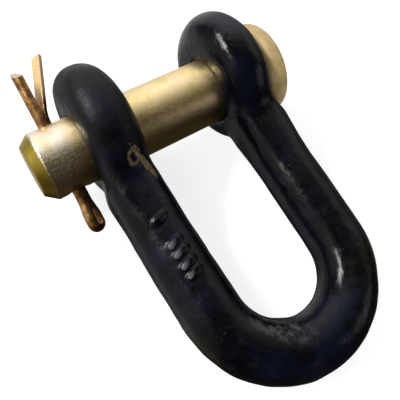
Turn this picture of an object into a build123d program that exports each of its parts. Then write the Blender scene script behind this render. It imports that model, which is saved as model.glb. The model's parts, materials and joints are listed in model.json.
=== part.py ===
from build123d import *
from math import acos, asin, atan2, copysign, cos, degrees, hypot, pi, radians, sin
import os

# Dee shackle (utility clevis): a forged U bar with two round eyes, a round clevis pin through
# them, and a split pin through the clevis pin. Millimetres.
#
# The origin is on the clevis pin's axis, midway between the eyes. +Y runs along the pin to its
# head and +Z is up. The shackle lies on its side, on the rims of both eyes and on its bow, so
# the legs run from the pin in +X and slope down by REST_TILT. Each piece is modelled with the
# legs level, in the "level frame", and is then turned about the pin's axis by REST_TILT, and
# the two pins by PIN_TURN more.

# Clevis pin
PIN_DIAMETER = 22.2
PIN_CLEARANCE = 0.09  # radial, in each eye
HEAD_DIAMETER = 32.4
HEAD_THICKNESS = 6.8
HEAD_EDGE = 2.4  # rounding of the head's two edges
HEAD_GAP = 1.0  # between the head and the eye beside it
TAIL_LENGTH = 16.8  # how far the pin stands out of the eye at its split-pin end
CHAMFER_LENGTH = 3.7
CHAMFER_DEPTH = 2.9
PIN_TURN = 20.5  # how far the pin is turned, from level, with the split pin's tips up

# Shackle body
JAW_WIDTH = 31.5  # clear gap between the eyes
BAR_DIAMETER = 18.8
BOW_GAP = 29.6  # clear gap between the legs where the bow begins
BOW_CENTRE = 64.1  # from the pin's axis to the centre of the bow's arc
EYE_RADIUS = 22.5
EYE_THICKNESS = 16.5
EYE_OFFSET = 2.4  # each eye's rim is centred this far behind its hole, away from the bow
EYE_OUTER_ROUND = 7.4
EYE_INNER_ROUND = 8.3
NECK_START = 12.0  # where the neck's first section stands, inside the eye
NECK_MIDDLE = 20.0  # where the neck comes out of the eye's rim
NECK_END = 36.0  # where the neck has become the plain round bar
NECK_INSET = 0.3  # the neck's first section stays this far inside the eye's two faces
NECK_HALF_HEIGHT = 10.3  # of its first two sections
NECK_SQUARENESS = 2.8  # the superellipse exponent of those sections, where 2 is an ellipse
ROOT_FILLET = 8.0  # between each eye's rim and its neck
SECTION_POINTS = 16  # around each section of the neck and the bar

# Raised marks on the near leg, a plain pattern of bars in three groups
MARK_GROUPS = [(33.6, 1), (42.0, 2), (49.0, 2)]  # distance from the pin's axis, bars
MARK_PITCH = 3.2
MARK_LENGTH = 5.5
MARK_WIDTH = 1.5
MARK_HEIGHT = 0.7
MARK_SLANT = 16.0

# Split pin: one half-round wire folded back on itself around a loop
WIRE_RADIUS = 2.15
SPLIT_GAP = 0.2  # between the two flat sides of the folded wire
HOLE_CLEARANCE = 0.12  # radial, in the clevis pin's cross hole
MOUTH_RADIUS = 3.6  # of the dished mouth at each end of the cross hole
MOUTH_DEPTH = 1.6
SETBACK = 6.7  # from the eye's outer face to the split pin's centreline
LOOP_START = 15.6  # from the clevis pin's axis to where the wire opens into its loop
LOOP_SIDE = 20.0  # from the same axis to where the loop reaches its full width
LOOP_END = 22.8  # from the same axis to where the loop's round end begins
LOOP_HALF_WIDTH = 0.9
LOOP_BEND = 7.0
STRAIGHT_TIP = 29.2  # from the clevis pin's axis to the straight leg's tip
BEND_START = 14.0  # from the same axis to the corner of the bent leg
BEND_ANGLE = 26.0
BEND_RADIUS = 12.0
BENT_LENGTH = 21.0  # of the bent leg, from its corner to its tip
SPLIT_PIN_TURN = 33.0  # about its own length, out of the plane of the clevis pin's axis

PIN_RADIUS = PIN_DIAMETER / 2
BAR_RADIUS = BAR_DIAMETER / 2
EYE_MIDDLE = (JAW_WIDTH + EYE_THICKNESS) / 2
EYE_OUTER_FACE = JAW_WIDTH / 2 + EYE_THICKNESS
LEG_START = JAW_WIDTH / 2 + BAR_RADIUS  # from mid-width to a leg's centreline, at the pin's axis
BOW_RADIUS = BOW_GAP / 2 + BAR_RADIUS  # to the bar's centreline
REST_TILT = degrees(asin((EYE_RADIUS - BAR_RADIUS) / (BOW_CENTRE + BOW_RADIUS + EYE_OFFSET)))
# The legs lean in by LEG_ANGLE, so that each runs tangent into the bow's arc.
LEG_ANGLE = degrees(acos(BOW_RADIUS / hypot(LEG_START, BOW_CENTRE)) - atan2(BOW_CENTRE, LEG_START))
LEG_DIRECTION = Vector(cos(radians(LEG_ANGLE)), sin(radians(LEG_ANGLE)), 0)
SPLIT_PIN_Y = -(EYE_OUTER_FACE + SETBACK)
HOLE_RADIUS = WIRE_RADIUS + SPLIT_GAP / 2 + HOLE_CLEARANCE


def at_rest(shape, turn=0.0):
    """Turn a shape from the level frame to how it lies at rest, and by turn more about the pin."""
    return Rot(0, REST_TILT + turn, 0) * shape


def near_leg_plane(distance, y=None):
    """A plane across the near leg, this far from the pin's axis, with its x along Z."""
    if y is None:
        y = -LEG_START + distance * LEG_DIRECTION.Y / LEG_DIRECTION.X
    return Plane(origin=(distance, y, 0), x_dir=(0, 0, 1), z_dir=LEG_DIRECTION)


def far_eye():
    """The eye beside the pin's head, without its hole: a thick disc with rounded rims."""
    outline = make_face(
        Polyline(
            (0, 0), (EYE_RADIUS, 0), (EYE_RADIUS, EYE_THICKNESS), (0, EYE_THICKNESS), close=True
        )
    )
    rims = outline.vertices().group_by(Axis.X)[-1].sort_by(Axis.Y)
    outline = fillet(rims[0], EYE_INNER_ROUND)
    outline = fillet(outline.vertices().group_by(Axis.Y)[-1].sort_by(Axis.X)[-1], EYE_OUTER_ROUND)
    return Pos(-EYE_OFFSET, JAW_WIDTH / 2, 0) * revolve(outline, Axis.Y)


def superellipse(half_height, half_width, exponent):
    """A closed section between an ellipse (exponent 2) and a rounded rectangle."""
    points = []
    for i in range(SECTION_POINTS):
        turn = 2 * pi * i / SECTION_POINTS
        x = copysign(abs(cos(turn)) ** (2 / exponent), cos(turn))
        y = copysign(abs(sin(turn)) ** (2 / exponent), sin(turn))
        points.append((half_height * x, half_width * y))
    return make_face(Spline(*points, periodic=True))


def bar_section():
    return superellipse(BAR_RADIUS, BAR_RADIUS, 2)


def neck_section(half_width):
    return superellipse(NECK_HALF_HEIGHT, half_width, NECK_SQUARENESS)


def near_leg():
    """The near leg: a squarish neck out of the eye, which turns into a round bar."""
    flush = EYE_THICKNESS / 2 - NECK_INSET
    root = near_leg_plane(NECK_START, -EYE_MIDDLE) * neck_section(flush)
    middle = near_leg_plane(NECK_MIDDLE) * neck_section(BAR_RADIUS)
    collar = near_leg_plane(NECK_END) * bar_section()
    bow_start = BOW_CENTRE + BOW_RADIUS * LEG_DIRECTION.Y
    bar_length = (bow_start - NECK_END) / LEG_DIRECTION.X
    return loft([root, middle, collar], ruled=True) + extrude(collar, bar_length)


def bow():
    """The round bar bent through the arc that joins the legs."""
    section = near_leg_plane(BOW_CENTRE + BOW_RADIUS * LEG_DIRECTION.Y) * bar_section()
    return revolve(section, Axis((BOW_CENTRE, 0, 0), (0, 0, 1)), 180 - 2 * LEG_ANGLE)


def marks():
    """Raised bars across the top of the near leg, their tops following its round."""
    reach = BAR_RADIUS + MARK_HEIGHT
    bar = extrude(SlotOverall(MARK_LENGTH, MARK_WIDTH), reach)
    bars = []
    for distance, count in MARK_GROUPS:
        for i in range(count):
            middle = near_leg_plane(distance + MARK_PITCH * i).origin
            bars.append(Pos(middle) * Rot(0, 0, 90 + MARK_SLANT + LEG_ANGLE) * bar)
    sleeve = extrude(near_leg_plane(0) * Circle(reach), BOW_CENTRE)
    return (Part() + bars) & sleeve


def shackle_body():
    eyes = far_eye() + mirror(far_eye(), Plane.XZ)
    legs = near_leg() + mirror(near_leg(), Plane.XZ) + bow()
    body = eyes + legs
    body = fillet(new_edges(eyes, legs, combined=body), ROOT_FILLET)
    body += marks()
    bore = Rot(90, 0, 0) * Cylinder(PIN_RADIUS + PIN_CLEARANCE, 3 * EYE_OUTER_FACE)
    return at_rest(body - bore)


def clevis_pin():
    tail = -(EYE_OUTER_FACE + TAIL_LENGTH)
    head = EYE_OUTER_FACE + HEAD_GAP
    top = head + HEAD_THICKNESS
    outline = make_face(
        Polyline(
            (0, tail),
            (PIN_RADIUS - CHAMFER_DEPTH, tail),
            (PIN_RADIUS, tail + CHAMFER_LENGTH),
            (PIN_RADIUS, head),
            (HEAD_DIAMETER / 2, head),
            (HEAD_DIAMETER / 2, top),
            (0, top),
            close=True,
        )
    )
    rim = outline.vertices().group_by(Axis.X)[-1]
    pin = revolve(fillet(rim, HEAD_EDGE), Axis.Y)
    hole = Cylinder(HOLE_RADIUS, 4 * PIN_RADIUS)
    mouth = Pos(0, 0, PIN_RADIUS) * Cone(
        HOLE_RADIUS, MOUTH_RADIUS, MOUTH_DEPTH, align=(Align.CENTER, Align.CENTER, Align.MAX)
    )
    across = hole + mouth + mirror(mouth, Plane.XY)
    return at_rest(pin - Pos(0, SPLIT_PIN_Y, 0) * Rot(0, 90, 0) * across, PIN_TURN)


def split_pin():
    """The wire is swept flat in a plane whose x runs from the loop to the tips."""
    side = SPLIT_GAP / 2
    loop_sides = [(-LOOP_START, side), (-LOOP_SIDE, LOOP_HALF_WIDTH), (-LOOP_END, LOOP_HALF_WIDTH)]
    bend = Vector(1, 0).rotate(Axis.Z, BEND_ANGLE)
    bent_tip = Vector(BEND_START, side) + bend * BENT_LENGTH
    straight = FilletPolyline(
        (STRAIGHT_TIP, -side), *[(x, -y) for x, y in loop_sides], radius=LOOP_BEND
    )
    end = ThreePointArc(
        (-LOOP_END, -LOOP_HALF_WIDTH),
        (-LOOP_END - LOOP_HALF_WIDTH, 0),
        (-LOOP_END, LOOP_HALF_WIDTH),
    )
    bent = FilletPolyline(
        *reversed(loop_sides), (BEND_START, side), bent_tip, radius=[LOOP_BEND, LOOP_BEND, BEND_RADIUS]
    )
    half_round = Circle(WIRE_RADIUS) - Pos(0, WIRE_RADIUS) * Rectangle(4 * WIRE_RADIUS, 2 * WIRE_RADIUS)
    start = Plane(origin=(STRAIGHT_TIP, -side, 0), x_dir=(0, 0, 1), z_dir=(-1, 0, 0))
    wire = sweep(start * half_round, straight + end + bent)
    turn = radians(SPLIT_PIN_TURN)
    lie = Plane(origin=(0, SPLIT_PIN_Y, 0), x_dir=(-1, 0, 0), z_dir=(0, -sin(turn), -cos(turn)))
    return at_rest(lie.location * wire, PIN_TURN)


os.makedirs("parts", exist_ok=True)
export_step(shackle_body(), "parts/shackle_body.step")
export_step(clevis_pin(), "parts/clevis_pin.step")
export_step(split_pin(), "parts/split_pin.step")
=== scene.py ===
import json
import math

import bpy
import numpy as np
from mathutils import Matrix, Vector, noise

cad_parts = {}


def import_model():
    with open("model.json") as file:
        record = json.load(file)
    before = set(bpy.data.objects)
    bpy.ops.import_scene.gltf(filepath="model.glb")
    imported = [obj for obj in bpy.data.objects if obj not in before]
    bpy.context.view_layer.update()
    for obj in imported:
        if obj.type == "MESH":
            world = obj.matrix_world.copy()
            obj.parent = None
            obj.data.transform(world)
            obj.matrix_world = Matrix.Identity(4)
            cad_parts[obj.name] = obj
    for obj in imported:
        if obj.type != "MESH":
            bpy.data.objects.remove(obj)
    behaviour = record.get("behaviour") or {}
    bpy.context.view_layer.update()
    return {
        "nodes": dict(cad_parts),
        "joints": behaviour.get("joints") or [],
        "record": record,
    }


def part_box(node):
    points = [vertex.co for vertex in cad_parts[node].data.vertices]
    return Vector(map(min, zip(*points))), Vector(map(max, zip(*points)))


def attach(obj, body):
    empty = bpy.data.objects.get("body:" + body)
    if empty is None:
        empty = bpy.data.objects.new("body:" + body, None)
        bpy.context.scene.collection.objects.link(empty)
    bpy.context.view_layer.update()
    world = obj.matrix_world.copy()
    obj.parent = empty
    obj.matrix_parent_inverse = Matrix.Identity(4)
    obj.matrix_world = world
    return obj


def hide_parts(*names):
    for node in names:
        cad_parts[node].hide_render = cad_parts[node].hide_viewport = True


# A dee shackle lying on a pale floor. The forged body, the clevis pin and the split pin are
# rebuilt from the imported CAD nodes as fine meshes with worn, rounded edges, and get node
# materials. Everything is in metres, in the row's frame.

MM = 0.001

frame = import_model()

joint_of = {j["name"]: j for j in frame["joints"]}
mount_of = {m["name"]: m for m in frame["record"]["mounts"]}

PIN_RADIUS = mount_of["pin_bearing"]["dims"]["r_mm"] * MM
BORE_RADIUS = PIN_RADIUS + 0.09 * MM
BOW_INSIDE = Vector(mount_of["bow_saddle"]["pos_m"])
TIPS = Vector(joint_of["split_pin_slide"]["axis"]).normalized()  # along the split pin, to its tips
PIN_AXIS = Vector((0, 1, 0))
LEGS = BOW_INSIDE.normalized()  # from the pin to the bow
LEGS_UP = LEGS.cross(PIN_AXIS).normalized()  # square to the plane of the legs
FLOOR_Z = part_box("shackle_body")[0].z
NEAR_LEG = (0, -24.2 * MM, 0)  # a point on the near leg's axis
BAR_RADIUS = 9.4 * MM
LEG_START = 26 * MM  # along the legs, where the parting ridge and the raised marks begin
STRAIGHT_TIP = 28.6 * MM  # how far the straight wire end reaches along the split pin
CUT_SLOPE = 0.75  # of the straight wire end's cut face
SPLIT_PIN_Y = -38.95 * MM  # where the split pin crosses the clevis pin's axis
TO_BENT_LEG = Matrix.Rotation(math.radians(33), 3, TIPS) @ PIN_AXIS  # from the straight leg
LAMP_DISTANCE = 1.2


# ---------------------------------------------------------------- mesh helpers


def points_of(mesh):
    flat = np.empty(len(mesh.vertices) * 3, np.float32)
    mesh.vertices.foreach_get("co", flat)
    return flat.reshape(-1, 3).astype(float)


def normals_of(mesh):
    flat = np.empty(len(mesh.vertices) * 3, np.float32)
    mesh.vertex_normals.foreach_get("vector", flat)
    return flat.reshape(-1, 3).astype(float)


def set_points(mesh, points):
    mesh.vertices.foreach_set("co", points.astype(np.float32).ravel())
    mesh.update()


def waves(points, size, shift=0.0):
    """Smooth noise from -1 to 1 at each point, with lumps about this size across."""
    return np.array([noise.noise(Vector(p) / size + Vector((shift, 0, 0))) for p in points])


def smooth_step(value, low, high):
    t = np.clip((value - low) / (high - low), 0, 1)
    return t * t * (3 - 2 * t)


def applied(piece):
    """Replace a piece's mesh with what its modifiers make of it."""
    depsgraph = bpy.context.evaluated_depsgraph_get()
    made = bpy.data.meshes.new_from_object(piece.evaluated_get(depsgraph))
    piece.modifiers.clear()
    piece.vertex_groups.clear()
    piece.data = made
    made.shade_smooth()


def remeshed(node, name, voxel, smoothing):
    """A copy of a CAD node as an even mesh with softened edges."""
    piece = bpy.data.objects.new(name, frame["nodes"][node].data.copy())
    bpy.context.scene.collection.objects.link(piece)
    piece.data.materials.clear()
    remesh = piece.modifiers.new("even", "REMESH")
    remesh.mode = "VOXEL"
    remesh.voxel_size = voxel
    soften = piece.modifiers.new("soften", "SMOOTH")
    soften.iterations = smoothing
    soften.factor = 0.5
    applied(piece)
    return piece


def softened(piece, weights, iterations):
    """Smooth a piece's mesh where its weights, one for each point, say so."""
    group = piece.vertex_groups.new(name="soft")
    steps = np.round(weights * 10).astype(int)
    for step in range(1, 11):
        group.add(np.flatnonzero(steps == step).tolist(), step / 10, "REPLACE")
    soften = piece.modifiers.new("soften", "SMOOTH")
    soften.vertex_group = "soft"
    soften.iterations = iterations
    soften.factor = 0.5
    applied(piece)


def finished(piece, node, points, body, material):
    """Set a piece's points, held inside its CAD node's box, and hand it to the frame."""
    low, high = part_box(node)
    set_points(piece.data, np.clip(points, np.array(low), np.array(high)))
    piece.data.materials.append(material)
    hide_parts(node)
    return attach(piece, body)


# ---------------------------------------------------------------- pieces


def forged_body(material):
    """The body, with the swells of a forging, a trimmed parting ridge and true bores."""
    piece = remeshed("shackle_body", "forged_body", 0.5 * MM, 4)
    points = points_of(piece.data)
    along, across = points @ np.array(LEGS), points[:, 1]
    near_marks = smooth_step(points @ np.array(LEGS_UP), 2 * MM, 5 * MM)
    near_marks *= smooth_step(along, LEG_START, LEG_START + 3 * MM)
    necks = smooth_step(along, 7 * MM, 12 * MM) * (1 - smooth_step(along, 36 * MM, 44 * MM))
    necks *= smooth_step(np.hypot(points[:, 0], points[:, 2]), 13 * MM, 15 * MM)
    softened(piece, necks * (1 - near_marks * (across < 0)), 90)

    points = points_of(piece.data)
    normals = normals_of(piece.data)
    swell = 0.18 * MM * waves(points, 11 * MM) + 0.08 * MM * waves(points, 4.5 * MM, 7)

    along = points @ np.array(LEGS)
    height = points @ np.array(LEGS_UP)
    bore_distance = np.hypot(points[:, 0], points[:, 2])
    on_legs = smooth_step(along, LEG_START, LEG_START + 6 * MM)
    edge_on = smooth_step(1 - abs(normals @ np.array(LEGS_UP)), 0.35, 0.8)
    wander = 0.25 * MM * waves(points, 15 * MM, 3)
    ridge = np.exp(-(((height - wander) / (0.75 * MM)) ** 4))
    uneven = 0.7 + 0.5 * waves(points, 6 * MM, 11)
    swell += 0.4 * MM * ridge * on_legs * edge_on * uneven

    flat_face = smooth_step(abs(normals[:, 1]), 0.9, 0.99) * smooth_step(-abs(along), -24 * MM, -20 * MM)
    swell *= 1 - 0.9 * flat_face
    swell *= smooth_step(bore_distance, BORE_RADIUS + 0.3 * MM, BORE_RADIUS + 2.0 * MM)
    points = points + normals * swell[:, None]

    in_bore = (bore_distance < BORE_RADIUS + 0.35 * MM) & (abs(normals[:, 1]) < 0.9)
    reach = np.maximum(bore_distance, BORE_RADIUS + 0.05 * MM) / bore_distance
    points[in_bore, 0] *= reach[in_bore]
    points[in_bore, 2] *= reach[in_bore]
    return finished(piece, "shackle_body", points, "shackle", material)


def plated_pin(material):
    """The clevis pin with softened edges, its shank brought back to a true cylinder."""
    piece = remeshed("clevis_pin", "plated_pin", 0.36 * MM, 4)
    points = points_of(piece.data)
    radius = np.hypot(points[:, 0], points[:, 2])
    shank = abs(radius - PIN_RADIUS) < 0.12 * MM
    reach = np.where(shank, (PIN_RADIUS - 0.01 * MM) / np.maximum(radius, 1e-6), 1)
    points[:, 0] *= reach
    points[:, 2] *= reach
    return finished(piece, "clevis_pin", points, "pin", material)


def folded_wire(material):
    """The split pin, its straight leg cut off aslant."""
    piece = remeshed("split_pin", "folded_wire", 0.16 * MM, 3)
    points = points_of(piece.data)
    reach, rise = points @ np.array(TIPS), points @ np.array(TIPS.cross(PIN_AXIS))
    straight_leg = (reach > 24 * MM) & (abs(rise) < 2.4 * MM)
    over = np.maximum(reach - (STRAIGHT_TIP + CUT_SLOPE * rise), 0) * straight_leg
    points -= over[:, None] * np.array(TIPS)
    return finished(piece, "split_pin", points, "keeper", material)


# ---------------------------------------------------------------- materials


class Nodes:
    """A node tree, with short ways to add the nodes used here."""

    def __init__(self, tree):
        self.tree = tree

    def link(self, source, target):
        self.tree.links.new(source, target)

    def fill(self, target, value):
        """Link a socket to a target, or set the target to a constant."""
        if isinstance(value, (int, float, tuple)):
            target.default_value = value
        else:
            self.link(value, target)

    def math(self, operation, first, second=0.0, third=0.5):
        node = self.tree.nodes.new("ShaderNodeMath")
        node.operation = operation
        for target, value in zip(node.inputs, (first, second, third)):
            self.fill(target, value)
        return node.outputs["Value"]

    def spread(self, factor, low, high, from_low=0.3, from_high=0.7):
        node = self.tree.nodes.new("ShaderNodeMapRange")
        node.interpolation_type = "SMOOTHSTEP"
        node.inputs["From Min"].default_value = from_low
        node.inputs["From Max"].default_value = from_high
        node.inputs["To Min"].default_value = low
        node.inputs["To Max"].default_value = high
        self.link(factor, node.inputs["Value"])
        return node.outputs["Result"]

    def parts(self, vector):
        node = self.tree.nodes.new("ShaderNodeSeparateXYZ")
        self.link(vector, node.inputs["Vector"])
        return node.outputs["X"], node.outputs["Y"], node.outputs["Z"]

    def along(self, vector, axis):
        """How far the vector reaches along an axis."""
        node = self.tree.nodes.new("ShaderNodeVectorMath")
        node.operation = "DOT_PRODUCT"
        self.link(vector, node.inputs[0])
        node.inputs[1].default_value = axis
        return node.outputs["Value"]

    def length(self, vector):
        node = self.tree.nodes.new("ShaderNodeVectorMath")
        node.operation = "LENGTH"
        self.link(vector, node.inputs[0])
        return node.outputs["Value"]

    def ramp(self, factor, *stops):
        node = self.tree.nodes.new("ShaderNodeValToRGB")
        elements = node.color_ramp.elements
        for _ in range(len(stops) - 2):
            elements.new(0.5)
        for element, (at, colour) in zip(elements, stops):
            element.position = at
            element.color = (*colour, 1)
        self.link(factor, node.inputs["Fac"])
        return node.outputs["Color"]

    def mixed(self, factor, first, second):
        node = self.tree.nodes.new("ShaderNodeMix")
        node.data_type = "RGBA"
        self.link(factor, node.inputs["Factor"])
        for value, socket in ((first, "A"), (second, "B")):
            target = next(s for s in node.inputs if s.name == socket and s.type == "RGBA")
            if isinstance(value, tuple):
                target.default_value = (*value, 1)
            else:
                self.link(value, target)
        return next(s for s in node.outputs if s.type == "RGBA")


class Shader(Nodes):
    """A node material whose nodes read the object's own coordinates, in metres."""

    def __init__(self, name):
        self.material = bpy.data.materials.new(name)
        self.material.use_nodes = True
        super().__init__(self.material.node_tree)
        self.surface = self.tree.nodes["Principled BSDF"]
        self.place = self.tree.nodes.new("ShaderNodeTexCoord").outputs["Object"]

    def noise(self, size, detail=4.0, roughness=0.55, place=None, distortion=0.0):
        """Noise whose lumps are about this size across, in metres."""
        node = self.tree.nodes.new("ShaderNodeTexNoise")
        node.inputs["Scale"].default_value = 1 / size
        node.inputs["Detail"].default_value = detail
        node.inputs["Roughness"].default_value = roughness
        node.inputs["Distortion"].default_value = distortion
        self.link(place or self.place, node.inputs["Vector"])
        return node.outputs["Fac"]

    def seen_in(self, matrix):
        """The place, moved into the frame of this matrix (its columns may be scaled)."""
        node = self.tree.nodes.new("ShaderNodeMapping")
        node.vector_type = "TEXTURE"
        spot, turn, size = matrix.decompose()
        node.inputs["Location"].default_value = spot
        node.inputs["Rotation"].default_value = turn.to_euler()
        node.inputs["Scale"].default_value = size
        self.link(self.place, node.inputs["Vector"])
        return node.outputs["Vector"]

    def bump(self, height, distance, strength=1.0, under=None):
        node = self.tree.nodes.new("ShaderNodeBump")
        node.inputs["Strength"].default_value = strength
        node.inputs["Distance"].default_value = distance
        self.link(height, node.inputs["Height"])
        if under is not None:
            self.link(under, node.inputs["Normal"])
        return node.outputs["Normal"]


def scuff(s):
    """Where the paint is worn to bronze at the near neck: a small ring and a straight streak."""
    ragged = s.math("SUBTRACT", s.noise(1.1 * MM, 3), 0.5)
    streak_start = Vector((15.6, -22.3, 13.6)) * MM
    streak_end = Vector((22.0, -17.7, 2.8)) * MM
    run = streak_end - streak_start
    side = run.cross(Vector((1, 0, 0))).normalized()
    other = run.normalized().cross(side)
    turn = Matrix((run * 0.56, side * 0.9 * MM, other * 3 * MM)).transposed().to_4x4()
    streak = s.length(s.seen_in(Matrix.Translation((streak_start + streak_end) / 2) @ turn))
    streak_mask = s.spread(s.math("ADD", streak, ragged), 1, 0, 0.7, 1.1)
    ring_centre = Vector((17.7, -22.7, 12.1)) * MM
    long = Vector((0.77, -0.46, -0.45)).normalized()
    wide = long.cross(Vector((0.55, 0.83, 0.1))).normalized().cross(long)
    oval = Matrix((long * 2.9 * MM, wide * 1.8 * MM, long.cross(wide) * 2.4 * MM)).transposed().to_4x4()
    ring = s.length(s.seen_in(Matrix.Translation(ring_centre) @ oval))
    ring_line = s.math("ABSOLUTE", s.math("SUBTRACT", ring, 1.0))
    ring_mask = s.spread(s.math("ADD", ring_line, s.math("MULTIPLY", ragged, 0.5)), 0.6, 0, 0.1, 0.32)
    return s.math("MAXIMUM", streak_mask, ring_mask)


def black_paint():
    """Glossy black with bluish clouds and dust, painted glints on the outer ends of the raised marks, a
    painted reflection of grey blotches inside the bow, and the scuff.
    """
    s = Shader("black_paint")
    worn = scuff(s)
    along, across, up = s.along(s.place, LEGS), s.parts(s.place)[1], s.along(s.place, LEGS_UP)
    tint = s.ramp(
        s.noise(16 * MM, 3),
        (0.36, (0.0012, 0.0012, 0.0018)),
        (0.52, (0.0014, 0.0015, 0.0030)),
        (0.64, (0.0028, 0.0036, 0.0100)),
    )
    dusty = s.spread(s.noise(5 * MM, 6, 0.65), 0, 0.55, 0.55, 0.72)
    tint = s.mixed(dusty, tint, (0.0105, 0.0105, 0.0112))
    bare = s.ramp(s.noise(0.9 * MM, 4), (0.35, (0.07, 0.05, 0.028)), (0.7, (0.24, 0.18, 0.10)))
    leg_frame = Matrix((LEGS * 1e6, PIN_AXIS, LEGS_UP)).transposed().to_4x4()
    off_leg = s.length(s.seen_in(Matrix.Translation(NEAR_LEG) @ leg_frame))
    proud = s.spread(off_leg, 0, 1, BAR_RADIUS + 0.3 * MM, BAR_RADIUS + 0.5 * MM)
    raised = s.math("MULTIPLY", proud, s.spread(up, 0, 1, 4 * MM, 6 * MM))
    past_first_mark = s.spread(along, 0, 1, 38 * MM, 39 * MM)
    on_marks = s.math("MULTIPLY", past_first_mark, s.spread(along, 1, 0, 54 * MM, 56 * MM))
    outer_ends = s.math("MULTIPLY", on_marks, s.spread(across, 1, 0, -26.4 * MM, -23.8 * MM))
    # Painted glints: the outer ends of the raised marks are made pale grey, standing in for the light
    # they catch.
    painted_glints = s.math("MULTIPLY", raised, outer_ends)
    tint = s.mixed(painted_glints, tint, (0.085, 0.085, 0.088))
    # Painted reflection: pale grey blotches on the inside of the bow stand in for the sheen of light seen
    # there.
    inner_bow = Matrix.Translation(Vector((78, -11, -3)) * MM) @ Matrix.Rotation(math.radians(42), 4, "Z")
    on_bow = s.length(s.seen_in(inner_bow @ Matrix.Diagonal((10 * MM, 4 * MM, 5 * MM, 1))))
    blotches = s.spread(s.noise(3 * MM, 5, 0.6), 0, 0.9, 0.42, 0.56)
    painted_sheen = s.math("MULTIPLY", s.spread(on_bow, 1, 0, 0.6, 1.3), blotches)
    tint = s.mixed(painted_sheen, tint, (0.045, 0.045, 0.048))
    s.link(s.mixed(worn, tint, bare), s.surface.inputs["Base Color"])
    gloss = s.spread(s.noise(7 * MM, 5), 0.09, 0.26)
    gloss = s.math("ADD", gloss, s.spread(s.noise(0.7 * MM, 3), -0.02, 0.06))
    near_side = s.spread(across, 0.26, 0, -20 * MM, -12 * MM)
    dull_eye = s.math("MULTIPLY", near_side, s.spread(along, 1, 0, 12 * MM, 22 * MM))
    gloss = s.math("ADD", gloss, dull_eye)
    s.link(s.math("MAXIMUM", gloss, s.math("MULTIPLY", worn, 0.5)), s.surface.inputs["Roughness"])
    forged = s.bump(s.noise(5 * MM, 4, 0.5), 0.5 * MM, 0.6)
    peel = s.bump(s.noise(1.3 * MM, 4, 0.6), 0.16 * MM, 0.55, forged)
    specks = s.bump(s.spread(s.noise(0.5 * MM, 2), 0, 1, 0.62, 0.7), 0.05 * MM, 0.5, peel)
    chipped = s.bump(s.math("MULTIPLY", worn, -1.0), 0.12 * MM, 0.6, specks)
    s.link(chipped, s.surface.inputs["Normal"])
    s.surface.inputs["Specular IOR Level"].default_value = 0.22
    return s.material


def yellow_zinc():
    """Yellow chromate over zinc: gold with pink, olive and brown clouds, and drawn lines."""
    s = Shader("yellow_zinc")
    clouds = s.ramp(
        s.noise(7 * MM, 5, 0.6, distortion=0.6),
        (0.3, (0.94, 0.68, 0.50)),
        (0.42, (0.97, 0.76, 0.46)),
        (0.52, (0.95, 0.73, 0.38)),
        (0.62, (0.84, 0.69, 0.31)),
        (0.75, (0.92, 0.66, 0.48)),
    )
    along_pin = s.noise(0.22 * MM, 4, 0.6, s.seen_in(Matrix.Diagonal((1, 14, 1, 1))))
    grained = s.mixed(s.spread(along_pin, 0, 0.4, 0.45, 0.75), clouds, (0.60, 0.46, 0.22))
    spots = s.spread(s.noise(1.6 * MM, 5, 0.7), 0, 0.6, 0.6, 0.74)
    grained = s.mixed(spots, grained, (0.45, 0.29, 0.13))
    forward = s.parts(s.place)[1]
    tail = s.spread(forward, 1, 0, -39 * MM, -33 * MM)
    worn_pale = s.math("MULTIPLY", s.spread(s.noise(5 * MM, 5), 0.2, 1.0), tail)
    grained = s.mixed(worn_pale, grained, (1.0, 0.93, 0.80))
    off_axis = s.length(s.seen_in(Matrix.Diagonal((1, 1e6, 1, 1))))
    within_rim = s.spread(off_axis, 1, 0, PIN_RADIUS - 0.3 * MM, PIN_RADIUS - 0.1 * MM)
    inner = s.math("MULTIPLY", within_rim, s.spread(off_axis, 0.4, 0.95, 7.7 * MM, 8.3 * MM))
    chamfer = s.math("MULTIPLY", s.spread(forward, 1, 0, -46 * MM, -45 * MM), inner)
    grained = s.mixed(chamfer, grained, (0.38, 0.265, 0.018))
    head_side = s.spread(forward, 0, 1, 32.8 * MM, 33.2 * MM)
    mottled = s.ramp(
        s.noise(4 * MM, 6, 0.65),
        (0.3, (0.40, 0.27, 0.12)),
        (0.5, (0.52, 0.38, 0.18)),
        (0.7, (0.62, 0.48, 0.25)),
    )
    pits = s.spread(s.noise(0.8 * MM, 3), 0, 0.8, 0.64, 0.72)
    headed = s.mixed(pits, mottled, (0.16, 0.10, 0.04))
    s.link(s.mixed(head_side, grained, headed), s.surface.inputs["Base Color"])
    s.link(s.spread(head_side, 1.0, 0.2, 0, 1), s.surface.inputs["Metallic"])
    sheen = s.spread(s.noise(0.6 * MM, 5), 0.28, 0.44)
    s.link(s.math("ADD", sheen, s.math("MULTIPLY", head_side, 0.3)), s.surface.inputs["Roughness"])
    grain = s.bump(s.noise(0.35 * MM, 3), 0.025 * MM, 0.7)
    drawn = s.bump(along_pin, 0.02 * MM, 0.6, grain)
    dented = s.bump(s.noise(4 * MM, 3), 0.14 * MM, 0.4, drawn)
    s.link(dented, s.surface.inputs["Normal"])
    return s.material


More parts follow.
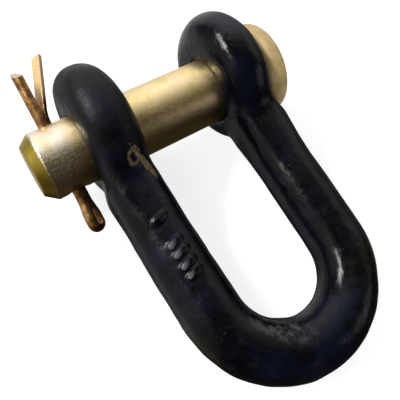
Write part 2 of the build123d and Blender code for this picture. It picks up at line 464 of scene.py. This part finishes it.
def tarnished_wire():
    """Plated wire gone brown, with a pale, nearly matt stretch on the bent leg that is partly plating
    left and partly a painted highlight, and a bare cut end.
    """
    s = Shader("brass_coloured_wire")
    brown = s.ramp(
        s.noise(2.2 * MM, 5, 0.6),
        (0.3, (0.17, 0.08, 0.03)),
        (0.5, (0.40, 0.21, 0.085)),
        (0.7, (0.80, 0.50, 0.22)),
    )
    reach = s.along(s.place, TIPS)
    rise = s.along(s.place, TIPS.cross(PIN_AXIS))
    aside = s.math("SUBTRACT", s.along(s.place, TO_BENT_LEG), SPLIT_PIN_Y * TO_BENT_LEG.y)
    off_line = s.spread(aside, 0, 1, 0.1 * MM, 0.6 * MM)
    past_bend = s.spread(reach, 0, 1, 17 * MM, 21.5 * MM)
    streaks = s.noise(0.5 * MM, 4, 0.6)
    pale = s.ramp(streaks, (0.35, (0.56, 0.35, 0.15)), (0.6, (0.74, 0.52, 0.27)))
    # Past the bend the bent leg is pale and nearly matt: partly plating left on it, partly a painted
    # highlight standing in for the light it reflects.
    bright = s.math("MULTIPLY", off_line, past_bend)
    coloured = s.mixed(bright, brown, pale)
    aslant = s.math("MULTIPLY_ADD", rise, -CUT_SLOPE, reach)
    at_tip = s.spread(aslant, 0, 0.9, STRAIGHT_TIP - 0.25 * MM, STRAIGHT_TIP)
    cut_end = s.math("MULTIPLY", at_tip, s.spread(off_line, 1, 0, 0, 1))
    cut = s.mixed(streaks, (0.62, 0.50, 0.42), (0.86, 0.74, 0.66))
    s.link(s.mixed(cut_end, coloured, cut), s.surface.inputs["Base Color"])
    s.link(s.spread(bright, 1.0, 0.1, 0, 1), s.surface.inputs["Metallic"])
    s.link(s.spread(s.noise(0.7 * MM, 5), 0.32, 0.5), s.surface.inputs["Roughness"])
    s.link(s.bump(s.noise(0.35 * MM, 3), 0.03 * MM, 0.6), s.surface.inputs["Normal"])
    return s.material


# ---------------------------------------------------------------- studio


def glowing(name, grey, strength):
    """A matt grey material that also gives off white light."""
    material = bpy.data.materials.new(name)
    material.use_nodes = True
    surface = material.node_tree.nodes["Principled BSDF"]
    surface.inputs["Base Color"].default_value = (grey, grey, grey, 1)
    surface.inputs["Roughness"].default_value = 0.9
    surface.inputs["Specular IOR Level"].default_value = 0.0
    surface.inputs["Emission Color"].default_value = (1, 1, 1, 1)
    surface.inputs["Emission Strength"].default_value = strength
    return material


def floor():
    """A pale floor that is kept out of reflections, so that the black paint stays dark."""
    half = 20
    mesh = bpy.data.meshes.new("floor")
    corners = [(-half, -half, 0), (half, -half, 0), (half, half, 0), (-half, half, 0)]
    mesh.from_pydata(corners, [], [(0, 1, 2, 3)])
    sheet = bpy.data.objects.new("floor", mesh)
    sheet.location.z = FLOOR_Z
    sheet.visible_glossy = False
    bpy.context.scene.collection.objects.link(sheet)
    sheet.data.materials.append(glowing("floor", 0.35, 0.8))


def backdrop():
    """A pale dome that only the camera sees, so that every view has a plain background."""
    bpy.ops.mesh.primitive_uv_sphere_add(segments=32, ring_count=16, radius=2.4)
    dome = bpy.context.object
    dome.name = "backdrop"
    for hidden_from in ("diffuse", "glossy", "transmission", "volume_scatter", "shadow"):
        setattr(dome, "visible_" + hidden_from, False)
    dome.data.materials.append(glowing("backdrop", 0.0, 0.95))


def softbox(name, direction, size, radiance):
    """An area light of this size, in this direction from the pin and facing it."""
    data = bpy.data.lights.new(name, "AREA")
    data.shape = "RECTANGLE"
    data.size, data.size_y = size
    data.energy = radiance * math.pi * size[0] * size[1]
    lamp = bpy.data.objects.new(name, data)
    direction = Vector(direction).normalized()
    lamp.location = direction * LAMP_DISTANCE
    lamp.rotation_mode = "QUATERNION"
    lamp.rotation_quaternion = direction.to_track_quat("Z", "Y")
    lamp.visible_camera = False
    bpy.context.scene.collection.objects.link(lamp)
    return lamp


def world():
    """A room bright on its -X side, dimmer above and at its two Y ends, and dark on its +X side."""
    made = bpy.data.worlds.new("studio")
    made.use_nodes = True
    n = Nodes(made.node_tree)
    x, y, z = n.parts(n.tree.nodes.new("ShaderNodeTexCoord").outputs["Generated"])
    up = n.spread(z, 0, 1, -0.35, 0.1)
    low_side = n.spread(x, 0.75, 0, -0.75, -0.3)
    high_side = n.math("MULTIPLY", n.spread(x, 1.05, 0, -0.7, 0.4), n.spread(y, 0, 1, -0.4, 0.1))
    low_part = n.math("MULTIPLY", low_side, n.math("SUBTRACT", 1.0, up))
    bright_side = n.math("MULTIPLY_ADD", high_side, up, low_part)
    far_corner = n.math("MULTIPLY", n.spread(y, 0, 0.6, 0.35, 0.7), n.spread(z, 1, 0, 0.1, 0.5))
    bright_side = n.math("MULTIPLY", bright_side, n.math("SUBTRACT", 1.0, far_corner))
    near_end = n.spread(y, 0.62, 0, -0.75, -0.4)
    far_end = n.math("MULTIPLY", n.spread(y, 0, 0.85, 0.4, 0.75), n.spread(z, 0.1, 1, 0.15, 0.45))
    ends = n.math("MULTIPLY", n.math("MAXIMUM", near_end, far_end), n.spread(x, 1, 0, 0.05, 0.5))
    strength = n.math("ADD", n.math("MAXIMUM", bright_side, ends), 0.025)
    background = n.tree.nodes["Background"]
    n.link(strength, background.inputs["Strength"])
    warmth = n.ramp(
        n.math("MULTIPLY_ADD", x, 0.5),
        (0.5, (1.0, 1.0, 1.0)),
        (0.62, (1.0, 0.90, 0.42)),
        (0.85, (1.0, 0.85, 0.48)),
        (0.97, (1.0, 0.62, 0.36)),
    )
    n.link(warmth, background.inputs["Color"])
    bpy.context.scene.world = made


def camera():
    data = bpy.data.cameras.new("camera")
    data.lens = 40.5
    data.sensor_width = 36
    data.clip_start = 0.005
    made = bpy.data.objects.new("camera", data)
    made.location = (0.07971, -0.05469, 0.12315)
    made.rotation_euler = [math.radians(a) for a in (26.846, -5.620, 56.315)]
    bpy.context.scene.collection.objects.link(made)
    bpy.context.scene.camera = made


forged_body(black_paint())
plated_pin(yellow_zinc())
folded_wire(tarnished_wire())

floor()
backdrop()
world()
softbox("window", (-0.72, 0.3, 0.6), (0.8, 0.6), 0.25)
softbox("lamp", (-0.40, -0.53, 0.745), (0.7, 0.05), 120.0)
softbox("far_fill", (0.66, 0.66, 0.34), (0.5, 0.5), 0.9)
softbox("matt_fill", (0.5, -0.55, 0.66), (0.5, 0.5), 7.0).visible_glossy = False
camera()
bpy.context.scene.view_settings.view_transform = "Standard"
